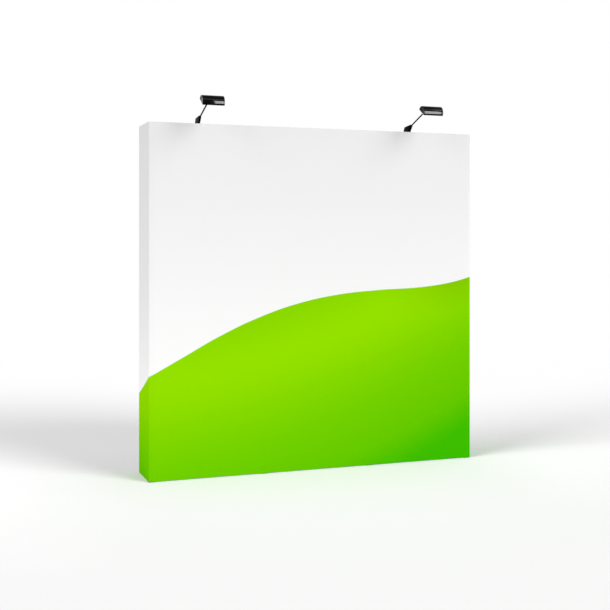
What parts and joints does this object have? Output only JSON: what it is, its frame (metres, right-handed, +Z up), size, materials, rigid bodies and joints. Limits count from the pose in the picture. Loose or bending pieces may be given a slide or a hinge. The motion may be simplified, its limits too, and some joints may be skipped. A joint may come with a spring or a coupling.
{
  "type": "pop-up display wall",
  "caption": "Pop-up display wall: a stretched fabric graphic round a folding aluminium frame, with clamp-on lamps that lean out over its front.",
  "frame": {"origin": "on the floor, in the middle of the whole object's width and depth, lamps included", "axes": "+Z up, +X to the right of someone who looks at the printed front, +Y from the front to the back"},
  "size_m": [2.26, 0.4839, 2.4153],
  "materials": {
    "printed_fabric": "matte stretched polyester, white with a green wave",
    "anodised_aluminium": "satin anodised",
    "black_nylon": "satin black",
    "hook_tape": "hook-and-loop tape",
    "black_rubber": "matte",
    "gloss_black": "gloss",
    "frosted_lens": "frosted",
    "led_board": "satin"
  },
  "bodies": {
    "front_column_2": {"front_upright_2": "anodised_aluminium", "front_foot_2": "black_rubber", "hook_tape_2": "hook_tape", "lock_socket": "black_nylon", "fabric_graphic": "printed_fabric"},
    "front_column_1": {"front_upright_1": "anodised_aluminium", "front_foot_1": "black_rubber", "hook_tape_1": "hook_tape"},
    "front_column_3": {"front_upright_3": "anodised_aluminium", "front_foot_3": "black_rubber", "hook_tape_3": "hook_tape"},
    "front_column_4": {"front_upright_4": "anodised_aluminium", "front_foot_4": "black_rubber", "hook_tape_4": "hook_tape"},
    "back_column_1": {"back_upright_1": "anodised_aluminium", "back_foot_1": "black_rubber"},
    "back_column_2": {"back_upright_2": "anodised_aluminium", "back_foot_2": "black_rubber", "lock_nose": "black_nylon"},
    "back_column_3": {"back_upright_3": "anodised_aluminium", "back_foot_3": "black_rubber"},
    "back_column_4": {"back_upright_4": "anodised_aluminium", "back_foot_4": "black_rubber"},
    "struts_1a": {"strut_1a_1": "anodised_aluminium", "strut_1a_2": "anodised_aluminium", "strut_1a_3": "anodised_aluminium", "strut_1a_4": "anodised_aluminium"},
    "struts_1b": {"strut_1b_1": "anodised_aluminium", "strut_1b_2": "anodised_aluminium", "strut_1b_3": "anodised_aluminium", "strut_1b_4": "anodised_aluminium", "lamp_left_bracket": "gloss_black"},
    "struts_2a": {"strut_2a_1": "anodised_aluminium", "strut_2a_2": "anodised_aluminium", "strut_2a_3": "anodised_aluminium", "strut_2a_4": "anodised_aluminium"},
    "struts_2b": {"strut_2b_1": "anodised_aluminium", "strut_2b_2": "anodised_aluminium", "strut_2b_3": "anodised_aluminium", "strut_2b_4": "anodised_aluminium"},
    "struts_3a": {"strut_3a_1": "anodised_aluminium", "strut_3a_2": "anodised_aluminium", "strut_3a_3": "anodised_aluminium", "strut_3a_4": "anodised_aluminium", "lamp_right_bracket": "gloss_black"},
    "struts_3b": {"strut_3b_1": "anodised_aluminium", "strut_3b_2": "anodised_aluminium", "strut_3b_3": "anodised_aluminium", "strut_3b_4": "anodised_aluminium"},
    "lamp_left_screw": {"lamp_left_screw": "gloss_black"},
    "lamp_left_arm": {"lamp_left_arm": "gloss_black"},
    "lamp_left_head": {"lamp_left_housing": "gloss_black", "lamp_left_lens": "frosted_lens", "lamp_left_leds": "led_board"},
    "lamp_right_screw": {"lamp_right_screw": "gloss_black"},
    "lamp_right_arm": {"lamp_right_arm": "gloss_black"},
    "lamp_right_head": {"lamp_right_housing": "gloss_black", "lamp_right_lens": "frosted_lens", "lamp_right_leds": "led_board"}
  },
  "joints": [
    {"name": "fold", "type": "hinge", "parent": "front_column_2", "child": "struts_2a", "pos_m": [-0.35483, -0.0252, 0], "axis": [0, 0, 1], "range_deg": [0, 65]},
    {"name": "crossing_2_turn", "type": "hinge", "parent": "struts_2a", "child": "struts_2b", "pos_m": [0, 0.0904, 0], "axis": [0, 0, 1], "range_deg": [-130, 0]},
    {"name": "back_column_3_turn", "type": "hinge", "parent": "struts_2a", "child": "back_column_3", "pos_m": [0.35483, 0.206, 0], "axis": [0, 0, 1], "range_deg": [-65, 0]},
    {"name": "front_column_3_turn", "type": "hinge", "parent": "struts_2b", "child": "front_column_3", "pos_m": [0.35483, -0.0252, 0], "axis": [0, 0, 1], "range_deg": [0, 65]},
    {"name": "back_column_2_turn", "type": "hinge", "parent": "struts_2b", "child": "back_column_2", "pos_m": [-0.35483, 0.206, 0], "axis": [0, 0, 1], "range_deg": [0, 65]},
    {"name": "struts_3a_turn", "type": "hinge", "parent": "front_column_3", "child": "struts_3a", "pos_m": [0.38283, -0.0252, 0], "axis": [0, 0, 1], "range_deg": [0, 65]},
    {"name": "crossing_3_turn", "type": "hinge", "parent": "struts_3a", "child": "struts_3b", "pos_m": [0.73767, 0.0904, 0], "axis": [0, 0, 1], "range_deg": [-130, 0]},
    {"name": "back_column_4_turn", "type": "hinge", "parent": "struts_3a", "child": "back_column_4", "pos_m": [1.0925, 0.206, 0], "axis": [0, 0, 1], "range_deg": [-65, 0]},
    {"name": "front_column_4_turn", "type": "hinge", "parent": "struts_3b", "child": "front_column_4", "pos_m": [1.0925, -0.0252, 0], "axis": [0, 0, 1], "range_deg": [0, 65]},
    {"name": "struts_1b_turn", "type": "hinge", "parent": "front_column_2", "child": "struts_1b", "pos_m": [-0.38283, -0.0252, 0], "axis": [0, 0, 1], "range_deg": [-65, 0]},
    {"name": "crossing_1_turn", "type": "hinge", "parent": "struts_1b", "child": "struts_1a", "pos_m": [-0.73767, 0.0904, 0], "axis": [0, 0, 1], "range_deg": [0, 130]},
    {"name": "back_column_1_turn", "type": "hinge", "parent": "struts_1b", "child": "back_column_1", "pos_m": [-1.0925, 0.206, 0], "axis": [0, 0, 1], "range_deg": [0, 65]},
    {"name": "front_column_1_turn", "type": "hinge", "parent": "struts_1a", "child": "front_column_1", "pos_m": [-1.0925, -0.0252, 0], "axis": [0, 0, 1], "range_deg": [-65, 0]},
    {"name": "lamp_left_screw_turn", "type": "hinge", "parent": "struts_1b", "child": "lamp_left_screw", "pos_m": [-0.75858, 0.09721, 2.20897], "axis": [0.3098, 0.9508, 0], "continuous": true},
    {"name": "lamp_left_arm_tilt", "type": "hinge", "parent": "struts_1b", "child": "lamp_left_arm", "pos_m": [-0.75858, 0.10322, 2.31267], "axis": [1, 0, 0], "range_deg": [-50, 12]},
    {"name": "lamp_left_head_tilt", "type": "hinge", "parent": "lamp_left_arm", "child": "lamp_left_head", "pos_m": [-0.75858, -0.16786, 2.4078], "axis": [1, 0, 0], "range_deg": [-30, 30]},
    {"name": "lamp_right_screw_turn", "type": "hinge", "parent": "struts_3a", "child": "lamp_right_screw", "pos_m": [0.75858, 0.09721, 2.20897], "axis": [-0.3098, 0.9508, 0], "continuous": true},
    {"name": "lamp_right_arm_tilt", "type": "hinge", "parent": "struts_3a", "child": "lamp_right_arm", "pos_m": [0.75858, 0.10322, 2.31267], "axis": [1, 0, 0], "range_deg": [-50, 12]},
    {"name": "lamp_right_head_tilt", "type": "hinge", "parent": "lamp_right_arm", "child": "lamp_right_head", "pos_m": [0.75858, -0.16786, 2.4078], "axis": [1, 0, 0], "range_deg": [-30, 30]}
  ],
  "couplings": [
    {"joint": "crossing_2_turn", "follows": "fold", "ratio": -2},
    {"joint": "back_column_3_turn", "follows": "fold", "ratio": -1},
    {"joint": "front_column_3_turn", "follows": "fold", "ratio": 1},
    {"joint": "back_column_2_turn", "follows": "fold", "ratio": 1},
    {"joint": "struts_3a_turn", "follows": "fold", "ratio": 1},
    {"joint": "crossing_3_turn", "follows": "fold", "ratio": -2},
    {"joint": "back_column_4_turn", "follows": "fold", "ratio": -1},
    {"joint": "front_column_4_turn", "follows": "fold", "ratio": 1},
    {"joint": "struts_1b_turn", "follows": "fold", "ratio": -1},
    {"joint": "crossing_1_turn", "follows": "fold", "ratio": 2},
    {"joint": "back_column_1_turn", "follows": "fold", "ratio": 1},
    {"joint": "front_column_1_turn", "follows": "fold", "ratio": -1}
  ]
}
